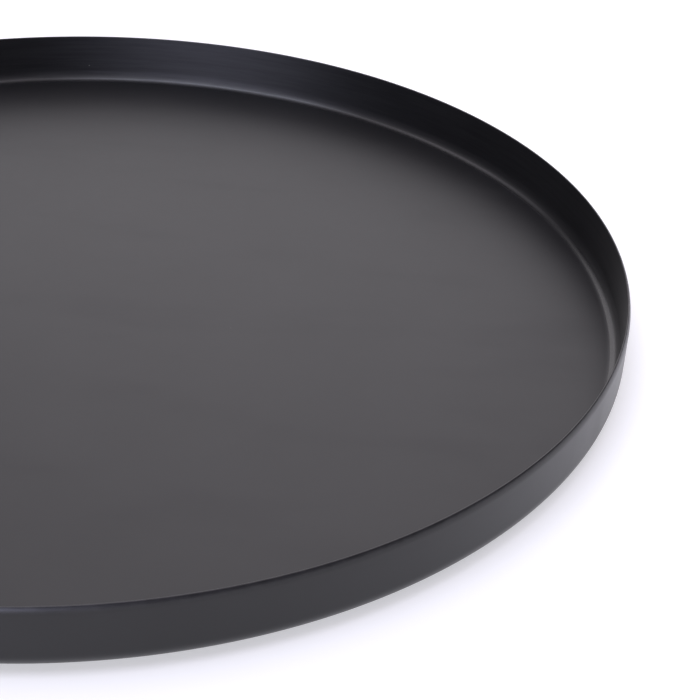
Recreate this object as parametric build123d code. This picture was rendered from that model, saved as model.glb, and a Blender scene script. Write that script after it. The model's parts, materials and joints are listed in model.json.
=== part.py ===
from build123d import *

import os
from math import asin, cos, degrees, radians, sin

# Round serving tray with a flat base and a low upright wall, deep-drawn from one
# disc of sheet steel and coated all over. It stands on four small anti-slip pads,
# each held to the underside by a disc of adhesive film.
#
# Millimetres. The origin is the centre of the tray on the surface that it stands
# on, and +Z is up, along the tray's axis.

# The pressed body
RIM_DIAMETER = 360.0    # over the outside of the wall
WALL_HEIGHT = 20.0      # underside of the base to the top of the lip
SHEET = 1.2             # steel with its coating on both faces
INNER_BEND = 4.0        # radius inside, where the base turns up into the wall
LIP_HEIGHT = 2.4        # the top of the wall, whose outer face is eased in to the lip
LIP_THICKNESS = 0.6     # across the lip, which is fully rounded

# The anti-slip pads and the film that holds them
PAD_COUNT = 4
PAD_DIAMETER = 20.0
PAD_THICKNESS = 1.75
PAD_EDGE = 0.5          # rounding of the edge next to the table
PAD_CIRCLE_RADIUS = 140.0
FIRST_PAD_ANGLE = 45.0
FILM_DIAMETER = 19.0
FILM_THICKNESS = 0.25

# Heights and radii that follow from them
RIM_RADIUS = RIM_DIAMETER / 2
UNDERSIDE = PAD_THICKNESS + FILM_THICKNESS
OUTER_BEND = INNER_BEND + SHEET
LIP_RADIUS = LIP_THICKNESS / 2
STRAIGHT_WALL_TOP = UNDERSIDE + WALL_HEIGHT - LIP_HEIGHT

# The eased outer face is an arc that leaves the wall upright and runs on into the lip's
# rounding. Both hold when the two centres are as far apart as the radii differ.
LIP_RISE = LIP_HEIGHT - LIP_RADIUS
LIP_REACH = SHEET - LIP_RADIUS
EASE_RADIUS = (LIP_REACH**2 + LIP_RISE**2 - LIP_RADIUS**2) / (2 * (LIP_REACH - LIP_RADIUS))
EASE_ANGLE = degrees(asin(LIP_RISE / (EASE_RADIUS - LIP_RADIUS)))


def on_arc(centre, radius, angle):
    """The point of a circle in the XZ plane at an angle from +X, in degrees."""
    return centre[0] + radius * cos(radians(angle)), centre[1] + radius * sin(radians(angle))


def wall_section():
    """The closed section of the sheet, from the tray's axis to the lip, in the XZ plane."""
    floor = UNDERSIDE + SHEET
    inner_wall = RIM_RADIUS - SHEET
    bend_radius = RIM_RADIUS - OUTER_BEND
    bend_top = UNDERSIDE + OUTER_BEND
    bend_centre = (bend_radius, bend_top)
    ease_centre = (RIM_RADIUS - EASE_RADIUS, STRAIGHT_WALL_TOP)
    ease_middle = on_arc(ease_centre, EASE_RADIUS, EASE_ANGLE / 2)
    ease_end = on_arc(ease_centre, EASE_RADIUS, EASE_ANGLE)
    lip_centre = (inner_wall + LIP_RADIUS, UNDERSIDE + WALL_HEIGHT - LIP_RADIUS)
    lip_top = on_arc(lip_centre, LIP_RADIUS, 90)
    inner_lip = on_arc(lip_centre, LIP_RADIUS, 180)
    outer_bend = on_arc(bend_centre, OUTER_BEND, -45)
    inner_bend = on_arc(bend_centre, INNER_BEND, -45)
    with BuildSketch(Plane.XZ) as section:
        with BuildLine():
            Line((0, UNDERSIDE), (bend_radius, UNDERSIDE))
            ThreePointArc((bend_radius, UNDERSIDE), outer_bend, (RIM_RADIUS, bend_top))
            Line((RIM_RADIUS, bend_top), (RIM_RADIUS, STRAIGHT_WALL_TOP))
            ThreePointArc((RIM_RADIUS, STRAIGHT_WALL_TOP), ease_middle, ease_end)
            ThreePointArc(ease_end, lip_top, inner_lip)
            Line(inner_lip, (inner_wall, bend_top))
            ThreePointArc((inner_wall, bend_top), inner_bend, (bend_radius, floor))
            Line((bend_radius, floor), (0, floor))
            Line((0, floor), (0, UNDERSIDE))
        make_face()
    return section.sketch


def tray_body():
    """The coated pressing: base, bend, wall and lip in one sheet."""
    return revolve(wall_section(), axis=Axis.Z)


def pad_place(index):
    """Centre of a pad on the table plane: (x, y)."""
    angle = radians(FIRST_PAD_ANGLE + index * 360.0 / PAD_COUNT)
    return PAD_CIRCLE_RADIUS * cos(angle), PAD_CIRCLE_RADIUS * sin(angle)


def anti_slip_pad(index):
    """One moulded rubber pad, standing on the table plane."""
    x, y = pad_place(index)
    disc = Cylinder(PAD_DIAMETER / 2, PAD_THICKNESS, align=(Align.CENTER, Align.CENTER, Align.MIN))
    table_edge = disc.edges().group_by(Axis.Z)[0]
    return Pos(x, y, 0) * fillet(table_edge, PAD_EDGE)


def adhesive_film(index):
    """The film disc between a pad and the underside of the tray."""
    x, y = pad_place(index)
    disc = Cylinder(FILM_DIAMETER / 2, FILM_THICKNESS, align=(Align.CENTER, Align.CENTER, Align.MIN))
    return Pos(x, y, PAD_THICKNESS) * disc


def save(solid, node):
    """Write one piece to its own STEP file, named after the node."""
    export_step(solid, f"parts/{node}.step")


os.makedirs("parts", exist_ok=True)
save(tray_body(), "tray_body")
for number in range(PAD_COUNT):
    save(anti_slip_pad(number), f"anti_slip_pad_{number + 1}")
    save(adhesive_film(number), f"adhesive_film_{number + 1}")
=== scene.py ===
"""Looks of the round serving tray: a powder-coated steel pressing on four rubber pads."""

import json
import math

import bpy
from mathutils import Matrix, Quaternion, Vector


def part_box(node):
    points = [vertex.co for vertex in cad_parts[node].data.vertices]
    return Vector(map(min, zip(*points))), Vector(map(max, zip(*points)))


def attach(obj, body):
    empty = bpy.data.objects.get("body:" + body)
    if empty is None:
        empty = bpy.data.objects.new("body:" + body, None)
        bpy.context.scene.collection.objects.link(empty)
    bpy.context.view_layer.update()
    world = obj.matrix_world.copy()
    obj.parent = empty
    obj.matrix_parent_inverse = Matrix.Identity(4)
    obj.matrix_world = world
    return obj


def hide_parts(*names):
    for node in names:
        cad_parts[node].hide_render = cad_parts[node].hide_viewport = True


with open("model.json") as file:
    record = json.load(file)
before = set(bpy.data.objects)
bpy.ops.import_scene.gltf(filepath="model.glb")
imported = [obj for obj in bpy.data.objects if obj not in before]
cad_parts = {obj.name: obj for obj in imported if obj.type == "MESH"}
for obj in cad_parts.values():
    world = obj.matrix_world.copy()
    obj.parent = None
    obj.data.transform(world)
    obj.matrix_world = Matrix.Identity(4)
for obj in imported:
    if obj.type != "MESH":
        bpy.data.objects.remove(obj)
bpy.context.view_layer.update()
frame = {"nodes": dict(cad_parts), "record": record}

MM = 0.001

# Places taken from the frame
BODY_LOW, BODY_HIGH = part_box("tray_body")
RIM_RADIUS = min(-BODY_LOW.x, BODY_HIGH.x, -BODY_LOW.y, BODY_HIGH.y)
UNDERSIDE = BODY_LOW.z
LIP_TOP = BODY_HIGH.z
MOUNTS = {mount["name"]: mount for mount in frame["record"]["mounts"]}
FLOOR = MOUNTS["serving_floor"]["pos_m"][2]
SHEET = FLOOR - UNDERSIDE
PADS = sorted(node for node in frame["nodes"] if node.startswith("anti_slip_pad"))
FILMS = sorted(node for node in frame["nodes"] if node.startswith("adhesive_film"))

# Shape of the pressing where the frame's box doesn't give it
INNER_BEND = 4.0 * MM
LIP_HEIGHT = 2.4 * MM
LIP_RADIUS = 0.3 * MM
INSET = 0.01 * MM           # keeps the meshes just inside the CAD box
GRAIN_START = 13.0          # how far round the inner bend the wall's grained coat begins, in degrees

# Fineness of the meshes
BODY_TURNS = 480
PAD_TURNS = 96


# ---------------------------------------------------------------- meshes


def arc(centre, radius, start, end, steps):
    """Points (radius, height) along a circle between two angles in degrees, both ends included."""
    points = []
    for step in range(steps + 1):
        angle = math.radians(start + (end - start) * step / steps)
        points.append((centre[0] + radius * math.cos(angle), centre[1] + radius * math.sin(angle)))
    return points


def lathe(name, outline, turns, place=(0.0, 0.0)):
    """A closed solid of revolution about +Z. The outline runs from the axis round to the axis."""
    vertices = [(place[0], place[1], outline[0][1])]
    for radius, height in outline[1:-1]:
        for turn in range(turns):
            angle = 2 * math.pi * turn / turns
            x = place[0] + radius * math.cos(angle)
            y = place[1] + radius * math.sin(angle)
            vertices.append((x, y, height))
    vertices.append((place[0], place[1], outline[-1][1]))
    last = len(vertices) - 1
    rings = len(outline) - 2
    faces = []
    for turn in range(turns):
        beside = (turn + 1) % turns
        faces.append((0, 1 + turn, 1 + beside))
        for ring in range(rings - 1):
            here = 1 + ring * turns
            there = here + turns
            faces.append((here + turn, there + turn, there + beside, here + beside))
        final = 1 + (rings - 1) * turns
        faces.append((last, final + beside, final + turn))
    mesh = bpy.data.meshes.new(name)
    mesh.from_pydata(vertices, [], faces)
    mesh.shade_smooth()
    mesh.validate()
    piece = bpy.data.objects.new(name, mesh)
    bpy.context.scene.collection.objects.link(piece)
    return piece


def flat_rings(start, end, height, spacing):
    """Points on a level stretch of an outline, evenly spaced, without its start."""
    count = max(1, round(abs(end - start) / spacing))
    return [(start + (end - start) * n / count, height) for n in range(1, count + 1)]


def tray_outline():
    """Section of the pressing, from the axis over the floor, wall and lip back to the axis."""
    rim = RIM_RADIUS - INSET
    under = UNDERSIDE + INSET
    top = LIP_TOP - INSET
    sheet = SHEET - INSET
    outer_bend = INNER_BEND + sheet
    bend = (rim - outer_bend, under + outer_bend)
    lip_centre = (rim - sheet + LIP_RADIUS, top - LIP_RADIUS)
    reach, rise = sheet - LIP_RADIUS, LIP_HEIGHT - LIP_RADIUS
    ease_radius = (reach**2 + rise**2 - LIP_RADIUS**2) / (2 * (reach - LIP_RADIUS))
    ease_angle = math.degrees(math.asin(rise / (ease_radius - LIP_RADIUS)))
    wall_top = top - LIP_HEIGHT
    ease_centre = (rim - ease_radius, wall_top)
    support = 0.4 * MM
    points = [(0.0, FLOOR)]
    points += flat_rings(0.0, bend[0] - support, FLOOR, 12 * MM)
    points += arc(bend, INNER_BEND, -90, 0, 14)
    points += [(rim - sheet, bend[1] + support), (rim - sheet, lip_centre[1] - support)]
    points += arc(lip_centre, LIP_RADIUS, 180, ease_angle, 12)
    points += arc(ease_centre, ease_radius, ease_angle, 0, 10)[1:]
    points += [(rim, wall_top - support), (rim, bend[1] + support)]
    points += arc(bend, outer_bend, 0, -90, 16)
    points += flat_rings(bend[0], bend[0] - support, under, support)
    points += flat_rings(bend[0] - support, 0.0, under, 12 * MM)
    return points


def pad_outline(low, high):
    """Section of a rubber pad: flat foot, rounded lower edge, slightly drafted side, flat top."""
    radius = (high.x - low.x) / 2 - INSET
    edge = 0.5 * MM
    draft = 0.15 * MM
    support = 0.1 * MM
    top = high.z
    points = [(0.0, top)]
    points += flat_rings(0.0, radius - draft - support, top, 2 * MM)
    points += [(radius - draft, top - support), (radius, low.z + edge + support)]
    points += arc((radius - edge, low.z + edge), edge, 0, -90, 8)
    points += flat_rings(radius - edge, 0.0, low.z, 2 * MM)
    return points


def film_outline(low, high):
    """Section of an adhesive film disc, whose cut edge bulges a little."""
    radius = (high.x - low.x) / 2 - INSET
    half = (high.z - low.z) / 2
    middle = (low.z + high.z) / 2
    points = [(0.0, high.z)]
    points += flat_rings(0.0, radius - half, high.z, 3 * MM)
    points += arc((radius - half, middle), half, 90, -90, 6)[1:]
    points += flat_rings(radius - half, 0.0, low.z, 3 * MM)
    return points


# ---------------------------------------------------------------- materials


# Where the colour sockets of a Mix node are among all its sockets
MIX_FIRST, MIX_SECOND, MIX_RESULT = 6, 7, 2


class Nodes:
    """A node tree, with short calls for the nodes that materials and the sky are built from."""

    def __init__(self, tree):
        self.tree = tree

    def add(self, kind, **settings):
        node = self.tree.nodes.new(kind)
        for setting, value in settings.items():
            setattr(node, setting, value)
        return node

    def feed(self, socket, value):
        if isinstance(value, bpy.types.NodeSocket):
            self.tree.links.new(value, socket)
        else:
            socket.default_value = value

    def math(self, operation, *values):
        node = self.add("ShaderNodeMath", operation=operation)
        for socket, value in zip(node.inputs, values):
            self.feed(socket, value)
        return node.outputs[0]

    def scaled(self, vector, scale):
        """A vector times a triple, part by part."""
        node = self.add("ShaderNodeVectorMath", operation="MULTIPLY")
        self.feed(node.inputs[0], vector)
        node.inputs[1].default_value = scale
        return node.outputs[0]

    def noise(self, vector, scale, detail=2.0, roughness=0.5):
        node = self.add("ShaderNodeTexNoise")
        self.feed(node.inputs["Vector"], vector)
        node.inputs["Scale"].default_value = scale
        node.inputs["Detail"].default_value = detail
        node.inputs["Roughness"].default_value = roughness
        return node.outputs["Fac"]

    def ramp(self, value, start, end, low=0.0, high=1.0):
        """A smooth change from low to high as the value goes from start to end."""
        node = self.add("ShaderNodeMapRange", interpolation_type="SMOOTHSTEP")
        for socket, number in zip(node.inputs, (value, start, end, low, high)):
            self.feed(socket, number)
        return node.outputs["Result"]

    def mix(self, factor, first, second):
        """From the first colour to the second as the factor goes from 0 to 1."""
        node = self.add("ShaderNodeMix", data_type="RGBA")
        self.feed(node.inputs[0], factor)
        self.feed(node.inputs[MIX_FIRST], first)
        self.feed(node.inputs[MIX_SECOND], second)
        return node.outputs[MIX_RESULT]

    def parts(self, vector):
        node = self.add("ShaderNodeSeparateXYZ")
        self.feed(node.inputs[0], vector)
        return node.outputs


class Shading(Nodes):
    """A material on one Principled shader."""

    def __init__(self, name, **sockets):
        self.material = bpy.data.materials.new(name)
        self.material.use_nodes = True
        super().__init__(self.material.node_tree)
        self.shader = self.tree.nodes["Principled BSDF"]
        self.place = self.add("ShaderNodeTexCoord").outputs["Object"]
        for socket, value in sockets.items():
            self.shader.inputs[socket.replace("_", " ")].default_value = value

    def set(self, socket, value):
        self.feed(self.shader.inputs[socket], value)

    def specks(self, cell, radius, share):
        """Sparse round specks: 1 inside one. Only a share of the cells holds a speck."""
        node = self.add("ShaderNodeTexVoronoi")
        self.feed(node.inputs["Vector"], self.place)
        node.inputs["Scale"].default_value = 1.0 / cell
        inside = self.ramp(node.outputs["Distance"], 1.5 * radius / cell, 0.7 * radius / cell)
        chosen = self.math("LESS_THAN", self.parts(node.outputs["Color"])[0], share)
        return self.math("MULTIPLY", inside, chosen)

    def bump(self, height, distance, below=None):
        """A bump whose height runs over the distance, in metres, on top of another if one is given."""
        node = self.add("ShaderNodeBump")
        self.feed(node.inputs["Height"], height)
        node.inputs["Distance"].default_value = distance
        if below is not None:
            self.feed(node.inputs["Normal"], below)
        return node.outputs["Normal"]


COAT_DARK = (0.0042, 0.0041, 0.0046, 1.0)
COAT_LIGHT = (0.0064, 0.0062, 0.0067, 1.0)
# Paler coat at the lip: partly the coat rubbed thin, partly a painted sheen on the lip's line
COAT_WORN_AND_SHEEN = (0.022, 0.021, 0.022, 1.0)
DUST = (0.16, 0.15, 0.14, 1.0)
RUBBER_DARK = (0.016, 0.016, 0.017, 1.0)
RUBBER_LIGHT = (0.028, 0.027, 0.026, 1.0)
RUBBER_DUSTY = (0.085, 0.080, 0.072, 1.0)
FILM_DARK = (0.42, 0.39, 0.31, 1.0)
FILM_LIGHT = (0.56, 0.53, 0.45, 1.0)
FILM_BUBBLE = (0.70, 0.68, 0.62, 1.0)

# Gloss of the coat on each stretch of the pressing
OUTSIDE_ROUGHNESS = 0.32
FLOOR_ROUGHNESS = 0.43
BEND_ROUGHNESS = 0.23
WALL_ROUGHNESS = 0.48
OUTSIDE_IOR = 1.45
COAT_IOR = 1.5

# The ground grain under the wall's coat
GRAIN_LOW = 0.15 * INNER_BEND       # above the floor, where it begins to spread highlights
GRAIN_FULL = 0.5 * INNER_BEND       # above the floor, where it spreads them fully
STREAK_HEIGHT = 1.5 * MM
STREAKS_ROUND = 5.0                 # how fast the streaks change along the rim


def coat_colour(shading):
    """Near black, in soft clouds of slightly different depth, with a few specks of dust."""
    clouds = shading.noise(shading.place, 24.0, detail=3.0)
    tone = shading.mix(shading.ramp(clouds, 0.32, 0.68), COAT_DARK, COAT_LIGHT)
    dust = shading.specks(13 * MM, 0.22 * MM, 0.045)
    return shading.mix(dust, tone, DUST)


def worn_and_sheen_at_lip(shading, start):
    """The coat's colour, paler from a height up to the lip: a little all round and more in patches, partly
    the coat rubbed thin and partly a painted sheen that lightens the lip's line.
    """
    edge = shading.ramp(shading.parts(shading.place)[2], start, LIP_TOP - 0.2 * MM)
    patches = shading.noise(shading.place, 220.0, detail=4.0, roughness=0.7)
    # at least a quarter of the way paler all round and fully in patches: painted sheen together with wear
    rubbed_and_sheen = shading.ramp(patches, 0.30, 0.70, 0.25, 1.0)
    return shading.mix(shading.math("MULTIPLY", edge, rubbed_and_sheen), coat_colour(shading), COAT_WORN_AND_SHEEN)


def orange_peel(shading, below=None):
    """The fine waviness that powder leaves as it melts and flows, with a much finer grain on it."""
    waves = shading.noise(shading.place, 700.0, detail=1.0)
    grain = shading.noise(shading.place, 3500.0, detail=1.0)
    return shading.bump(grain, 0.0006 * MM, shading.bump(waves, 0.006 * MM, below))


def smooth_coat(name, roughness, ior):
    """The satin black powder coat on everything but the inside of the wall, with faint wiping marks."""
    coat = Shading(name, IOR=ior)
    wiped = coat.noise(coat.scaled(coat.place, (9.0, 34.0, 9.0)), 1.0, detail=3.0, roughness=0.6)
    marks = coat.ramp(wiped, 0.50, 0.72)
    fine = coat.noise(coat.place, 260.0)
    gloss = coat.math("MULTIPLY_ADD", marks, 0.03, roughness)
    coat.set("Roughness", coat.math("MULTIPLY_ADD", fine, 0.02, gloss))
    # the lip paler from wear and from a painted sheen
    coat.set("Base Color", worn_and_sheen_at_lip(coat, LIP_TOP - LIP_HEIGHT))
    coat.set("Normal", orange_peel(coat))
    return coat.material


def grained_coat():
    """The same coat inside the wall. The steel under it was ground round the rim before coating, and
    the grain spreads highlights up and down the wall, fully above the bend and less and less inside it."""
    coat = Shading("powder_coat_grained", IOR=COAT_IOR, Anisotropic=0.85, Anisotropic_Rotation=0.25)
    coat.set("Tangent", coat.add("ShaderNodeTangent", direction_type="RADIAL", axis="Z").outputs[0])
    height = coat.parts(coat.place)[2]
    around = coat.add("ShaderNodeVectorMath", operation="NORMALIZE")
    coat.feed(around.inputs[0], coat.scaled(coat.place, (1.0, 1.0, 0.0)))
    lines = coat.add("ShaderNodeVectorMath", operation="ADD")
    coat.feed(lines.inputs[0], coat.scaled(around.outputs[0], (STREAKS_ROUND, STREAKS_ROUND, 0.0)))
    coat.feed(lines.inputs[1], coat.scaled(coat.place, (0.0, 0.0, 1.0 / STREAK_HEIGHT)))
    streaks = coat.noise(lines.outputs[0], 1.0, detail=5.0, roughness=0.7)
    patches = coat.noise(coat.place, 30.0, detail=3.0)
    grained = coat.ramp(height, FLOOR + GRAIN_LOW, FLOOR + GRAIN_FULL, BEND_ROUGHNESS, WALL_ROUGHNESS)
    gloss = coat.math("MULTIPLY_ADD", streaks, 0.05, grained)
    coat.set("Specular IOR Level", coat.ramp(streaks, 0.28, 0.72, 0.42, 0.58))
    coat.set("Roughness", coat.math("MULTIPLY_ADD", patches, 0.02, gloss))
    # the lip paler from wear and from a painted sheen
    coat.set("Base Color", worn_and_sheen_at_lip(coat, LIP_TOP - 0.7 * MM))
    coat.set("Normal", orange_peel(coat, coat.bump(streaks, 0.004 * MM)))
    return coat.material


def pad_rubber():
    """Matt black rubber, pebbled finely by its mould, greyed by dust where the edge rounds under."""
    rubber = Shading("pad_rubber", IOR=1.5)
    clouds = rubber.noise(rubber.place, 180.0, detail=4.0)
    tone = rubber.mix(rubber.ramp(clouds, 0.3, 0.7), RUBBER_DARK, RUBBER_LIGHT)
    height = rubber.parts(rubber.place)[2]
    dusty = rubber.math(
        "MULTIPLY",
        rubber.ramp(height, 0.8 * MM, 0.0),
        rubber.ramp(rubber.noise(rubber.place, 420.0, detail=3.0), 0.40, 0.62),
    )
    rubber.set("Base Color", rubber.mix(dusty, tone, RUBBER_DUSTY))
    rubber.set("Roughness", rubber.ramp(clouds, 0.3, 0.7, 0.62, 0.80))
    pebbles = rubber.noise(rubber.place, 2400.0, detail=2.0)
    rubber.set("Normal", rubber.bump(pebbles, 0.05 * MM, rubber.bump(clouds, 0.03 * MM)))
    return rubber.material


def adhesive_film():
    """Pale yellowish acrylic film, milky with tiny bubbles at its cut edge."""
    film = Shading("adhesive_film", IOR=1.48)
    clouds = film.noise(film.place, 500.0, detail=3.0)
    tone = film.mix(film.ramp(clouds, 0.3, 0.7), FILM_DARK, FILM_LIGHT)
    bubbles = film.specks(0.6 * MM, 0.09 * MM, 0.5)
    film.set("Base Color", film.mix(bubbles, tone, FILM_BUBBLE))
    film.set("Roughness", film.ramp(clouds, 0.3, 0.7, 0.30, 0.46))
    film.set("Normal", film.bump(clouds, 0.02 * MM))
    return film.material


# ---------------------------------------------------------------- pieces


def dress(piece, slot, nodes, *materials):
    """Give a piece its materials and its body, and hide the CAD nodes that it stands for. The slot is not
    used.
    """
    for material in materials:
        piece.data.materials.append(material)
    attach(piece, "root")
    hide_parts(*nodes)


# The body's material slots, in the order in which build_body gives it its coats
OUTSIDE_SLOT, FLOOR_SLOT, GRAINED_SLOT = 0, 1, 2


def build_body():
    """The pressing. Its outside keeps the first coat, and faces in the dish get the other two."""
    body = lathe("tray", tray_outline(), BODY_TURNS)
    outside = smooth_coat("powder_coat_outside", OUTSIDE_ROUGHNESS, OUTSIDE_IOR)
    floor = smooth_coat("powder_coat_floor", FLOOR_ROUGHNESS, COAT_IOR)
    dress(body, "coated_steel", ["tray_body"], outside, floor, grained_coat())
    grain_start = RIM_RADIUS - SHEET - INNER_BEND * (1 - math.sin(math.radians(GRAIN_START)))
    for face in body.data.polygons:
        in_dish = face.normal.z > 0.01 or face.normal.xy.dot(face.center.xy) < 0
        if in_dish and face.center.xy.length < RIM_RADIUS - SHEET:
            face.material_index = GRAINED_SLOT if face.center.xy.length > grain_start else FLOOR_SLOT
        else:
            face.material_index = OUTSIDE_SLOT


def build_discs(nodes, prefix, outline, material, slot):
    """One turned disc in the place of each CAD node, numbered like the node."""
    for node in nodes:
        low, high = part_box(node)
        disc = lathe(prefix + node[-1], outline(low, high), PAD_TURNS, ((low + high) / 2).xy)
        dress(disc, slot, [node], material)


# ---------------------------------------------------------------- studio and camera


TABLE_REACH = 6.0
TABLE_DARK = (0.58, 0.58, 0.58, 1.0)
TABLE_LIGHT = (0.60, 0.60, 0.60, 1.0)
TABLE_GLOW_COLOUR = (1.0, 0.995, 1.03, 1.0)
TABLE_GLOW = 0.50


def build_table():
    """A plain pale table top, which glows a little so that it stays white round the tray's shadow."""
    mesh = bpy.data.meshes.new("table")
    reach = TABLE_REACH
    corners = [(-reach, -reach, 0.0), (reach, -reach, 0.0), (reach, reach, 0.0), (-reach, reach, 0.0)]
    mesh.from_pydata(corners, [], [(0, 1, 2, 3)])
    table = bpy.data.objects.new("table", mesh)
    bpy.context.scene.collection.objects.link(table)
    white = Shading("table_white", Roughness=0.8, Emission_Strength=TABLE_GLOW)
    white.set("Emission Color", TABLE_GLOW_COLOUR)
    clouds = white.noise(white.place, 6.0)
    white.set("Base Color", white.mix(clouds, TABLE_DARK, TABLE_LIGHT))
    mesh.materials.append(white.material)


# The studio's soft lights: azimuth from +Y towards +X, elevation, where each is at full strength
# and where it ends, in degrees from its middle, and its colour times its strength
LIGHTS = {
    "back_wall": (-1, 21, 18, 34, (1.59, 1.53, 1.61)),
    "side_panel": (-55, 48, 8, 25, (0.85, 0.82, 0.88)),
    "ceiling": (0, 87, 28, 52, (1.5, 1.4, 1.55)),
    "key": (231, 70, 11, 22, (3.0, 3.2, 4.0)),
    "softbox": (200, 2, 8, 33, (5.8, 5.9, 7.8)),
}
AMBIENT = (0.02, 0.02, 0.02)


def build_sky():
    """A dim room with the soft lights in it, as light from far away."""
    world = bpy.data.worlds.new("studio")
    bpy.context.scene.world = world
    world.use_nodes = True
    sky = Nodes(world.node_tree)
    direction = sky.add("ShaderNodeTexCoord").outputs["Generated"]
    total = AMBIENT
    for azimuth, elevation, core, edge, colour in LIGHTS.values():
        turn, height = math.radians(azimuth), math.radians(elevation)
        towards = (math.sin(turn) * math.cos(height), math.cos(turn) * math.cos(height), math.sin(height))
        facing = sky.add("ShaderNodeVectorMath", operation="DOT_PRODUCT")
        sky.feed(facing.inputs[0], direction)
        facing.inputs[1].default_value = towards
        angle = sky.math("ARCCOSINE", facing.outputs["Value"])
        share = sky.ramp(angle, math.radians(edge), math.radians(core))
        glow = sky.add("ShaderNodeVectorMath", operation="MULTIPLY_ADD")
        sky.feed(glow.inputs[0], share)
        glow.inputs[1].default_value = colour
        sky.feed(glow.inputs[2], total)
        total = glow.outputs[0]
    sky.feed(world.node_tree.nodes["Background"].inputs["Color"], total)


CAMERA_ELEVATION = 32.03
CAMERA_ROLL = 3.50
CAMERA_DISTANCE = 2.8826    # of the rim's radius, from the point aimed at
AIM = (0.5060, -0.1483)     # of the rim's radius, on the tray's floor
LENS = 83.94
SENSOR = 36.0


def build_camera():
    """The camera looks along +Y and down at the right half of the tray, rolled a little."""
    data = bpy.data.cameras.new("camera")
    data.lens = LENS
    data.sensor_width = SENSOR
    camera = bpy.data.objects.new("camera", data)
    bpy.context.scene.collection.objects.link(camera)
    elevation = math.radians(CAMERA_ELEVATION)
    back = Vector((0.0, -math.cos(elevation), math.sin(elevation)))
    aim = Vector((AIM[0] * RIM_RADIUS, AIM[1] * RIM_RADIUS, FLOOR))
    camera.location = aim + back * (CAMERA_DISTANCE * RIM_RADIUS)
    roll = Quaternion((0.0, 0.0, 1.0), math.radians(CAMERA_ROLL))
    camera.rotation_mode = "QUATERNION"
    camera.rotation_quaternion = (-back).to_track_quat("-Z", "Y") @ roll
    bpy.context.scene.camera = camera


build_camera()
build_body()
build_discs(PADS, "pad_", pad_outline, pad_rubber(), "pad_rubber")
build_discs(FILMS, "film_", film_outline, adhesive_film(), "adhesive")
build_table()
build_sky()
bpy.context.scene.view_settings.view_transform = "Standard"
